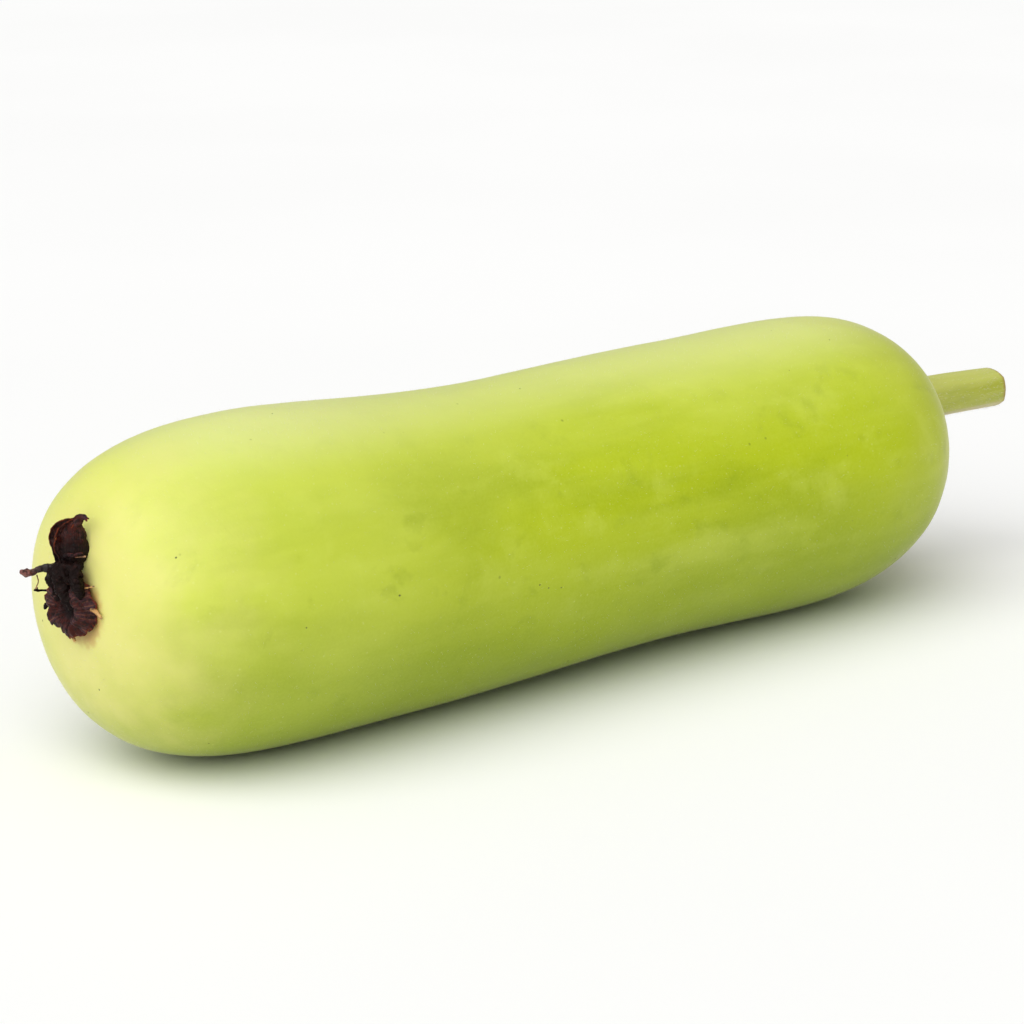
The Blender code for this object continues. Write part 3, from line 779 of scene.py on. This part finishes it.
def strand_material(name, root_colour, tip_colour):
    """A dried strand that changes colour from its root to its tip, with darker flecks."""
    material, tree, shader = new_material(name)
    place = object_place(tree)
    along = add_node(tree, "ShaderNodeAttribute", attribute_name="along").outputs["Fac"]
    flecks = noise_at(tree, place, 1100.0, 4.0, 0.6)
    colour = blend(tree, remap(tree, along, 0.25, 0.9), root_colour, tip_colour)
    colour = blend(tree, remap(tree, flecks, 0.55, 0.38, 0.0, 0.75), colour, linear("1a0e0b"))
    tree.links.new(colour, shader.inputs["Base Color"])
    tree.links.new(remap(tree, flecks, 0.3, 0.7, 0.72, 0.48), shader.inputs["Roughness"])
    add_bump(tree, shader, flecks, 0.7, 0.0002)
    return material


# The withered flower's own frame: X out from the fruit, Y to the right of someone facing the flower,
# and Z up, in millimetres from the middle of the scar.

def from_flower_frame(points):
    """Points of the flower's frame, in millimetres, as places in the gourd's frame, in metres."""
    turned = np.asarray(points, float) * np.array([-MM, -MM, MM])
    return turned + np.array(FLOWER_SEAT)


def smooth_line(points, count):
    """Evenly spaced points on a smooth curve through a few."""
    points = np.asarray(points, float)
    return smooth_through(points, np.linspace(0, len(points) - 1, count))


def ripple(values, seed):
    """A repeatable uneven swing between about -1 and 1."""
    return (np.sin(values * 2.3 + seed * 1.7) + 0.6 * np.sin(values * 5.1 + seed * 2.9)
            + 0.4 * np.sin(values * 9.7 + seed * 4.3)) / 2


def blade_mesh(name, spine, widths, curls, facing, rows, columns, seed):
    """An open dried blade: a strip along its spine, rolled across its width, with a ragged edge."""
    line = smooth_line(spine, rows)
    at = np.linspace(0, len(spine) - 1, rows)
    width = np.interp(at, range(len(widths)), widths)
    curl = np.radians(np.interp(at, range(len(curls)), curls))
    along = np.gradient(line, axis=0)
    along /= np.linalg.norm(along, axis=1, keepdims=True)
    side = np.cross(along, np.asarray(facing, float))
    side /= np.linalg.norm(side, axis=1, keepdims=True)
    front = np.cross(side, along)
    v = np.linspace(-1, 1, columns)
    ragged = 1 + 0.13 * ripple(np.linspace(0, 9, rows), seed)[:, None] * np.abs(v)[None, :]
    angle = curl[:, None] * v[None, :] / 2
    radius = (width / curl)[:, None] * ragged
    points = (line[:, None] + side[:, None] * (radius * np.sin(angle))[..., None] * 2
              + front[:, None] * (radius * (1 - np.cos(angle)))[..., None] * 2)
    u = np.linspace(0, 1, rows)
    edge = np.maximum(np.abs(v)[None, :] ** 3, (u[:, None] ** 8))
    attributes = {"edge": edge * np.ones((rows, columns)), "across": np.ones((rows, 1)) * v[None, :],
                  "along": u[:, None] * np.ones((1, columns))}
    return grid_mesh(name, from_flower_frame(points), False, attributes)


def lobe_mesh(name, start, end, depth, fold, reach, rows, columns, seed):
    """One open sector of the shrivelled trumpet that hangs below the throat, rolled at its rim."""
    turn = np.radians(np.linspace(start, end, columns))
    out = np.linspace(0.14, 1.0, rows)
    ragged = 1 + 0.06 * ripple(turn * 4, seed)
    spread = reach * out[:, None] * ragged[None, :]
    right = 7.4 * spread * np.cos(turn)
    up = 7.8 * spread * np.sin(turn)
    bowl = 1.6 + depth * np.sin(math.pi * fold * out[:, None]) ** 1.3 + 0 * turn[None, :]
    folds = 0.8 * ripple(turn[None, :] * 2.2, seed) * out[:, None] ** 1.5
    lean = -0.26 * right
    points = np.stack([np.maximum(bowl + folds + lean, 0.25), 4.0 + right, 0.4 + up], axis=-1)
    v = np.linspace(-1, 1, columns)
    edge = np.maximum((out[:, None]) ** 4, 0.8 * np.abs(v)[None, :] ** 6)
    attributes = {"edge": edge, "across": np.ones((rows, 1)) * v[None, :], "along": out[:, None] + 0 * v[None, :]}
    return grid_mesh(name, from_flower_frame(points), False, attributes)


def strand_rings(points, radii, around, count, lumps, seed):
    """Rings of a closed tapering strand through a few points, with swollen and shrunken stretches."""
    line = smooth_line(points, count)
    at = np.linspace(0, 1, count)
    radius = np.interp(at, np.linspace(0, 1, len(radii)), radii)
    radius = radius * (1 + lumps * ripple(at * 14, seed))
    cap = np.sqrt(np.clip(1 - (np.abs(2 * at - 1) ** 24), 0.02, 1))
    along = np.gradient(line, axis=0)
    along /= np.linalg.norm(along, axis=1, keepdims=True)
    helper = np.array([0.31, 0.22, 0.93]) if abs(along[:, 2]).mean() < 0.8 else np.array([0.93, 0.31, 0.22])
    side = np.cross(along, helper)
    side /= np.linalg.norm(side, axis=1, keepdims=True)
    front = np.cross(side, along)
    turn = np.linspace(0, 2 * math.pi, around, endpoint=False)
    swell = 1 + 0.12 * np.sin(3 * turn[None, :] + 6 * at[:, None] + seed)
    reach = (radius * cap)[:, None] * swell
    ring = (line[:, None] + side[:, None] * (reach * np.cos(turn))[..., None]
            + front[:, None] * (reach * np.sin(turn))[..., None])
    return ring[:, ::-1], at[:, None] * np.ones((1, around))


def strand_mesh(name, points, radii, around=14, count=60, lumps=0.12, seed=1.0):
    ring, along = strand_rings(points, radii, around, count, lumps, seed)
    return grid_mesh(name, from_flower_frame(ring), True, {"along": along})


def join_meshes(name, meshes):
    """One mesh from several, with their attributes kept."""
    parts = []
    for mesh in meshes:
        part = bpy.data.objects.new(mesh.name, mesh)
        bpy.context.scene.collection.objects.link(part)
        parts.append(part)
    with bpy.context.temp_override(active_object=parts[0], selected_editable_objects=parts):
        bpy.ops.object.join()
    joined = parts[0].data
    bpy.data.objects.remove(parts[0])
    joined.name = name
    return joined


def crumpled_piece(name, mesh, material, depth, scale, seed, veins=0.0, thickness=None, levels=1):
    """A dried piece: subdivided, crumpled, and thickened where it is an open blade."""
    subdivide = ("SUBSURF", {"levels": levels, "render_levels": levels})
    after = []
    if thickness:
        after.append(("SOLIDIFY", {"thickness": thickness, "offset": 0.0, "use_even_offset": False}))
        after.append(("SUBSURF", {"levels": 1, "render_levels": 1}))
    values = {"Depth": depth, "Crease Scale": scale, "Vein Depth": veins, "Seed": seed, "Material": material}
    return grow(name, mesh, tree_once("Crumple", crumple_tree), values, before=[subdivide], after=after)


# Petals that stand above the throat, each of one or more strips: the strip's spine, its widths, its
# curls in degrees, and the way its hollow side faces.
STANDING_PETALS = {
    "withered_petal_1": (
        (((3.8, 1.9, 10.0), (4.4, 0.9, 13.0), (4.2, -0.9, 15.6), (3.8, -2.4, 18.1), (3.0, -1.6, 20.2),
          (2.4, 1.6, 22.3), (1.8, 5.2, 23.3)),
         (1.4, 1.5, 1.3, 1.2, 1.6, 1.9, 1.2), (200, 220, 240, 200, 170, 160, 150), (0.6, 0.7, 0.0)),
        (((3.4, 4.0, 10.4), (3.8, 3.4, 13.2), (3.6, 1.6, 16.4), (3.2, 1.6, 19.2), (2.6, 2.7, 21.6),
          (2.2, 5.2, 23.2)), (1.8, 2.2, 2.5, 2.6, 2.2, 1.1), (120, 140, 120, 150, 170, 160), (0.5, 0.8, 0.1)),
    ),
    "withered_petal_2": (
        (((3.0, 4.8, 10.0), (3.2, 5.3, 12.6), (2.9, 5.6, 16.4), (2.7, 5.3, 19.6), (2.2, 5.3, 21.9),
          (1.5, 6.4, 23.6), (1.1, 8.0, 24.6), (0.9, 9.2, 24.2)),
         (3.4, 4.2, 4.8, 4.3, 3.2, 1.9, 1.2, 1.0), (150, 140, 125, 135, 160, 200, 250, 280),
         (-0.63, -0.73, 0.0)),
        (((4.6, 3.6, 13.6), (4.7, 5.8, 15.0), (4.2, 7.4, 15.2), (2.4, 9.2, 15.8)),
         (0.5, 0.6, 0.5, 0.3), (150, 160, 150, 140), (-0.6, -0.7, 0.3)),
    ),
}
# Lobes of the trumpet below the throat: first and last angle in degrees, how deep the bowl is, how far
# the lobe folds back to the fruit, and its reach.
HANGING_PETALS = {
    "withered_petal_3": (84, 226, 3.0, 0.64, 1.0),
    "withered_petal_4": (208, 334, 2.8, 0.76, 1.0),
    "withered_petal_5": (312, 456, 3.9, 0.93, 1.04),
}


def build_petals(flower):
    material = petal_material(flower)
    for number, (name, strips) in enumerate(STANDING_PETALS.items(), start=1):
        meshes = [blade_mesh(name, *strip, 46, 20, number + 3.1 * i) for i, strip in enumerate(strips)]
        piece = crumpled_piece(name + "_dried", join_meshes(name, meshes), material, flower.crumple_depth, 420.0,
                               number * 0.37, 0.12 * MM, flower.petal_thickness)
        place_piece(piece, "withered_petal", name)
    for number, (name, lobe) in enumerate(HANGING_PETALS.items(), start=3):
        mesh = lobe_mesh(name, *lobe, 28, 40, number * 1.3)
        piece = crumpled_piece(name + "_dried", mesh, material, flower.crumple_depth, 380.0, number * 0.41,
                               0.12 * MM, flower.petal_thickness)
        place_piece(piece, "withered_petal", name)


# Twisted strands that make up the throat: their points, and their radii from end to end.
THROAT_STRANDS = (
    (((4.3, -2.6, 9.6), (5.0, 0.2, 9.6), (5.0, 3.2, 10.6), (4.2, 6.6, 11.4), (2.6, 9.6, 9.8)),
     (1.2, 1.8, 2.1, 1.7, 0.9)),
    (((3.9, 3.8, 12.8), (5.2, 2.8, 9.4), (5.0, 3.4, 6.2), (4.2, 4.8, 2.8), (3.0, 5.8, 0.0)),
     (1.3, 2.1, 2.1, 1.5, 0.8)),
    (((2.6, 8.0, 13.0), (4.0, 8.0, 9.9), (3.8, 8.8, 6.4), (2.6, 8.4, 3.3)), (1.1, 1.8, 1.5, 0.8)),
    (((4.2, -2.3, 10.3), (5.0, -1.7, 7.2), (5.2, -0.2, 4.4), (4.6, 0.8, 2.0)), (1.0, 1.5, 1.0, 0.5)),
    (((3.4, 0.6, 11.2), (4.4, 2.4, 8.0), (3.8, 5.6, 8.6), (2.8, 8.8, 8.2)), (1.2, 1.9, 1.8, 1.0)),
)


def build_flower_base(flower):
    material = char_material(flower)
    strands = [strand_mesh(f"strand {i}", points, radii, 16, 48, 0.16, i * 1.9)
               for i, (points, radii) in enumerate(THROAT_STRANDS)]
    throat = crumpled_piece("withered_throat_dried", join_meshes("throat", strands), material, 0.9 * MM, 430.0, 0.2, levels=2)
    place_piece(throat, "dried_calyx", "withered_throat")
    turn = np.linspace(0, 2 * math.pi, 60, endpoint=False)
    profile = ((0.55, 0.2), (1.0, 0.25), (1.05, 0.9), (0.9, 1.5), (0.6, 1.9), (0.25, 2.0))
    rings = []
    for spread, rise in profile:
        reach = spread * (1 + 0.07 * ripple(turn * 3, 2.0) * spread)
        rings.append(np.stack([rise + 0 * turn, 7.2 * reach * np.cos(turn), 7.0 * reach * np.sin(turn)], axis=-1))
    calyx_mesh = grid_mesh("calyx", from_flower_frame(np.array(rings)), True)
    calyx = crumpled_piece("withered_calyx_dried", calyx_mesh, material, 0.3 * MM, 420.0, 0.7, levels=2)
    place_piece(calyx, "dried_calyx", "withered_calyx")


# Sepals: their points, their radii from end to end, and their finish.
SEPALS = {
    "dried_sepal_1": (((4.2, -3.8, 0.6), (4.9, -4.9, -0.6), (5.1, -5.6, -1.8)), (0.6, 0.7, 0.4), "char"),
    "dried_sepal_2": (((3.8, -4.6, 3.2), (5.4, -5.8, 3.3), (6.8, -6.2, 3.5), (7.1, -6.3, 3.9)),
                      (0.3, 0.26, 0.4, 0.75), "char"),
    "dried_sepal_3": (((2.8, 7.8, 6.5), (2.0, 10.4, 6.9), (1.2, 12.4, 7.6)), (0.26, 0.24, 0.2), "fibre"),
    "dried_sepal_4": (((1.2, 9.6, 1.4), (0.8, 12.0, 0.6), (0.4, 14.0, -0.8)), (0.8, 0.6, 0.42), "fibre"),
    "dried_sepal_5": (((2.4, 1.6, -5.8), (2.2, 2.6, -7.8), (1.8, 3.2, -9.2)), (0.6, 0.5, 0.4), "fibre"),
}
LOOSE_FIBRES = (
    ((8.0, -4.0, 8.4), (7.5, -4.2, 6.4), (7.4, -5.2, 4.9), (7.1, -6.1, 4.0)),
    ((2.6, 4.6, 13.8), (2.4, 7.4, 14.4), (1.8, 9.8, 15.0)),
    ((3.0, 1.0, -5.4), (2.6, 0.6, -7.6), (2.0, 1.4, -8.8)),
)


def build_sepals(flower):
    finishes = {
        "char": char_material(flower),
        "fibre": strand_material("tan fibre", tuple(flower.fibre_colour), linear("c69a5c")),
    }
    for number, (name, (points, radii, finish)) in enumerate(SEPALS.items()):
        mesh = strand_mesh(name, points, radii, 12, 30, 0.15, number * 1.3)
        piece = crumpled_piece(name + "_dried", mesh, finishes[finish], 0.1 * MM, 900.0, number * 0.2)
        place_piece(piece, "dried_calyx", name)


def build_style(flower):
    points = ((3.8, -1.8, 9.8), (5.5, -3.3, 9.9), (7.6, -3.9, 9.7), (9.2, -4.2, 9.1), (11.0, -4.0, 9.4),
              (13.0, -3.9, 10.2))
    material = strand_material("dried style", tuple(flower.style_colour), tuple(flower.tip_colour))
    mesh = strand_mesh("style", points, (1.3, 1.15, 0.8, 0.85, 1.05, 0.5), 16, 70, 0.14, 0.8)
    style = crumpled_piece("dried_style_waved", mesh, material, 0.2 * MM, 700.0, 0.9)
    place_piece(style, "dried_style", "dried_style")
    fibre = strand_material("loose fibre", linear("8a5a3c"), linear("b98a62"))
    meshes = [strand_mesh(f"fibre {i}", line, (0.2, 0.16, 0.18, 0.3), 8, 30, 0.2, i * 2.1)
              for i, line in enumerate(LOOSE_FIBRES)]
    fibres = crumpled_piece("loose_fibres", join_meshes("fibres", meshes), fibre, 0.05 * MM, 900.0, 0.4)
    place_piece(fibres, "dried_style")


def stem_mesh():
    """The stem as a round stalk with a worn rim and a sunken cut face, ready for its ridges."""
    length = STEM_HIGH.x - STEM_LOW.x
    seat = np.array([STEM_LOW.x, (STEM_LOW.y + STEM_HIGH.y) / 2, STEM_LOW.z + 9.2 * MM])
    count, around = 150, 150
    at = np.linspace(0, 1, count)
    radius = 7.0 * MM + 1.9 * MM * np.exp(-at * length / (4 * MM)) - 0.6 * MM * at
    x = at * length - 0.35 * MM * (at == 0)
    rim = np.array([(0.985, -0.1), (0.955, -0.02), (0.90, 0.0), (0.84, -0.25), (0.7, -0.45), (0.45, -0.5), (0.2, -0.35)])
    radius = np.concatenate([radius[:-1], radius[-1] * rim[:, 0]])
    x = np.concatenate([x[:-1], length + rim[:, 1] * MM])
    radial = np.concatenate([np.ones(count - 1), rim[:, 0]])
    droop = -1.2 * MM * (x / length) ** 2
    turn = np.linspace(0, 2 * math.pi, around, endpoint=False)
    spoke = np.stack([0 * turn[None, :] * x[:, None], radius[:, None] * np.cos(turn), radius[:, None] * np.sin(turn)], axis=-1)
    axis = seat + np.stack([x, 0 * x, droop], axis=-1)
    shape = (len(x), around)
    attributes = {"around": np.broadcast_to(turn, shape).copy(), "spoke": spoke,
                  "radial": np.broadcast_to(radial[:, None], shape).copy()}
    return grid_mesh("stem", axis[:, None] + spoke, True, attributes)


def build_stem(stem):
    values = {"Ridge Count": float(stem.ridge_count), "Ridge Sharpness": stem.ridge_sharpness,
              "First Ridge": stem.first_ridge, "Grain Depth": stem.grain_depth, "Material": stem_material(stem)}
    piece = grow("cut_stem", stem_mesh(), tree_once("Stem ridges", stem_ridge_tree), values)
    return place_piece(piece, "stem_rind", "stem")


def build_fruit(fruit):
    mesh = grid_mesh("fruit", fruit_surface(fruit.rows, fruit.columns))
    values = {"Dent Depth": fruit.dent_depth, "Furrow Depth": fruit.furrow_depth,
              "Pimple Depth": fruit.pimple_depth, "Material": skin_material(fruit)}
    piece = grow("gourd_fruit", mesh, tree_once("Skin relief", skin_relief_tree), values)
    return place_piece(piece, "fruit_skin", "fruit")


def bare_copy(name):
    """A copy of a finished piece's mesh, for something to grow on."""
    return bpy.data.objects[name].data.copy()


def build_down(down):
    material = plain_relief_material("down", tuple(down.down_colour), 0.5)
    tree = tree_once("Hairs", hair_tree)
    on_fruit = {"Density": down.down_density, "Length": down.down_length, "Thickness": down.down_thickness,
                "Lean": (-0.5, 0.0, 0.0), "Lowest": 0.002, "Seed": down.seed, "Material": material}
    place_piece(grow("fruit_down", bare_copy("gourd_fruit"), tree, on_fruit), "fruit_skin")
    on_stem = {"Density": 900000.0, "Length": 0.9 * MM, "Thickness": 0.04 * MM,
               "Lean": (0.5, 0.0, 0.0), "Lowest": 0.002, "Seed": down.seed + 1, "Material": material}
    place_piece(grow("stem_down", bare_copy("cut_stem"), tree, on_stem), "stem_rind")


def build_specks(specks):
    tree = tree_once("Specks", speck_tree)
    kinds = (
        ("dark_specks", specks.dark_colour, specks.dark_density, 0.3 * MM, 0.75 * MM, 0.12, 0.3, 21),
        ("pale_specks", specks.pale_colour, specks.pale_density, 0.09 * MM, 0.2 * MM, 0.25, 0.46, 22),
    )
    for name, colour, density, smallest, largest, flatness, clumping, seed in kinds:
        values = {"Density": density, "Smallest": smallest, "Largest": largest, "Flatness": flatness,
                  "Clumping": clumping, "Seed": seed,
                  "Material": plain_relief_material(name.replace("_", " "), tuple(colour), 0.6)}
        place_piece(grow(name, bare_copy("gourd_fruit"), tree, values), "fruit_skin")


# Stage

def floor_material(colour):
    material, tree, shader = new_material("studio floor")
    place = object_place(tree)
    tint = noise_at(tree, place, 3.0, 2.0)
    base = tuple(colour)
    tree.links.new(blend(tree, remap(tree, tint, 0.3, 0.7), base, tuple(c * 0.985 for c in base)),
                   shader.inputs["Base Color"])
    shader.inputs["Roughness"].default_value = 0.9
    shader.inputs["Specular IOR Level"].default_value = 0.2
    return material


def build_floor(stage):
    reach = stage.floor_reach
    corners = [(-reach, -reach, 0.0), (reach, -reach, 0.0), (reach, reach, 0.0), (-reach, reach, 0.0)]
    mesh = bpy.data.meshes.new("floor")
    mesh.from_pydata(corners, [], [(0, 1, 2, 3)])
    floor = bpy.data.objects.new("studio_floor", mesh)
    bpy.context.scene.collection.objects.link(floor)
    mesh.materials.append(floor_material(stage.floor_colour))


def add_key_light(stage):
    """One broad soft light from the upper left, a little behind the gourd's top."""
    lamp = bpy.data.lights.new("key_light", "SUN")
    lamp.energy = stage.key_strength
    lamp.angle = stage.key_softness
    item = bpy.data.objects.new("key_light", lamp)
    item.rotation_euler = Vector((0.62, 0.22, -0.75)).to_track_quat("-Z", "Y").to_euler()
    bpy.context.scene.collection.objects.link(item)


def build_camera(stage):
    """The camera stands low at the blossom end and looks along the gourd's front."""
    a, e = stage.azimuth, stage.elevation
    back = Vector((math.sin(a) * math.cos(e), -math.cos(a) * math.cos(e), math.sin(e)))
    right = Vector((math.cos(a), math.sin(a), 0.0))
    up = back.cross(right)
    middle = Vector(((FRUIT_LOW.x + FRUIT_HIGH.x) / 2, 0.0, 0.485 * FRUIT_HIGH.z))
    lens = bpy.data.cameras.new("camera")
    lens.lens = stage.lens
    lens.sensor_width = 36.0
    lens.clip_start, lens.clip_end = 0.01, 50.0
    camera = bpy.data.objects.new("camera", lens)
    camera.location = middle + back * stage.distance - right * 5.9 * MM + up * 2.2 * MM
    camera.rotation_euler = (-back).to_track_quat("-Z", "Y").to_euler()
    bpy.context.scene.collection.objects.link(camera)
    bpy.context.scene.camera = camera


def build_world(stage):
    world = bpy.data.worlds.new("studio")
    world.use_nodes = True
    background = world.node_tree.nodes["Background"]
    background.inputs["Color"].default_value = (1.0, 1.0, 1.0, 1.0)
    background.inputs["Strength"].default_value = stage.sky_strength
    bpy.context.scene.world = world


def build_stage(stage):
    build_floor(stage)
    add_key_light(stage)
    build_camera(stage)
    build_world(stage)
    bpy.context.scene.view_settings.view_transform = "Standard"


# Operators

class GOURD_OT_fruit(bpy.types.Operator):
    """Builds the fruit's skin over the frame's solid"""
    bl_idname = "gourd.fruit"
    bl_label = "Fruit"

    def execute(self, context):
        build_fruit(context.scene.gourd_fruit)
        return {"FINISHED"}


class GOURD_OT_specks(bpy.types.Operator):
    """Scatters corky scabs and pale pores over the skin"""
    bl_idname = "gourd.specks"
    bl_label = "Specks"

    def execute(self, context):
        build_specks(context.scene.gourd_specks)
        return {"FINISHED"}


class GOURD_OT_stem(bpy.types.Operator):
    """Builds the cut stem with its ridges"""
    bl_idname = "gourd.stem"
    bl_label = "Stem"

    def execute(self, context):
        build_stem(context.scene.gourd_stem)
        return {"FINISHED"}


class GOURD_OT_down(bpy.types.Operator):
    """Grows fine hairs on the fruit and on the stem"""
    bl_idname = "gourd.down"
    bl_label = "Down"

    def execute(self, context):
        build_down(context.scene.gourd_down)
        return {"FINISHED"}


class GOURD_OT_flower_base(bpy.types.Operator):
    """Builds the shrivelled calyx and throat of the flower"""
    bl_idname = "gourd.flower_base"
    bl_label = "Calyx and throat"

    def execute(self, context):
        build_flower_base(context.scene.gourd_flower)
        return {"FINISHED"}


class GOURD_OT_petals(bpy.types.Operator):
    """Builds the five withered petals"""
    bl_idname = "gourd.petals"
    bl_label = "Petals"

    def execute(self, context):
        build_petals(context.scene.gourd_flower)
        return {"FINISHED"}


class GOURD_OT_sepals(bpy.types.Operator):
    """Builds the five dried sepals"""
    bl_idname = "gourd.sepals"
    bl_label = "Sepals"

    def execute(self, context):
        build_sepals(context.scene.gourd_flower)
        return {"FINISHED"}


class GOURD_OT_style(bpy.types.Operator):
    """Builds the dried style and the loose fibres beside it"""
    bl_idname = "gourd.style"
    bl_label = "Style"

    def execute(self, context):
        build_style(context.scene.gourd_flower)
        return {"FINISHED"}


class GOURD_OT_stage(bpy.types.Operator):
    """Sets the floor, lights, camera and world"""
    bl_idname = "gourd.stage"
    bl_label = "Stage"

    def execute(self, context):
        build_stage(context.scene.gourd_stage)
        return {"FINISHED"}


SETTINGS = {
    "gourd_fruit": FruitSettings, "gourd_down": DownSettings, "gourd_specks": SpeckSettings,
    "gourd_stem": StemSettings, "gourd_flower": FlowerSettings, "gourd_stage": StageSettings,
}
OPERATORS = (GOURD_OT_fruit, GOURD_OT_specks, GOURD_OT_stem, GOURD_OT_down, GOURD_OT_flower_base,
             GOURD_OT_petals, GOURD_OT_sepals, GOURD_OT_style, GOURD_OT_stage)


class GOURD_PT_panel(bpy.types.Panel):
    """Lists the gourd's pieces and their settings"""
    bl_label = "Bottle Gourd"
    bl_idname = "GOURD_PT_panel"
    bl_space_type = "VIEW_3D"
    bl_region_type = "UI"
    bl_category = "Gourd"

    def draw(self, context):
        for operator in OPERATORS:
            self.layout.operator(operator.bl_idname)
        for name, kind in SETTINGS.items():
            box = self.layout.box()
            box.label(text=name.replace("_", " "))
            for field in kind.__annotations__:
                box.prop(getattr(context.scene, name), field)


def register():
    for kind in (*SETTINGS.values(), *OPERATORS, GOURD_PT_panel):
        bpy.utils.register_class(kind)
    for name, kind in SETTINGS.items():
        setattr(bpy.types.Scene, name, PointerProperty(type=kind))


def unregister():
    for name in SETTINGS:
        delattr(bpy.types.Scene, name)
    for kind in reversed((*SETTINGS.values(), *OPERATORS, GOURD_PT_panel)):
        bpy.utils.unregister_class(kind)


def main():
    register()
    for operator in OPERATORS:
        getattr(bpy.ops.gourd, operator.bl_idname.split(".")[1])()


if __name__ == "__main__":
    main()
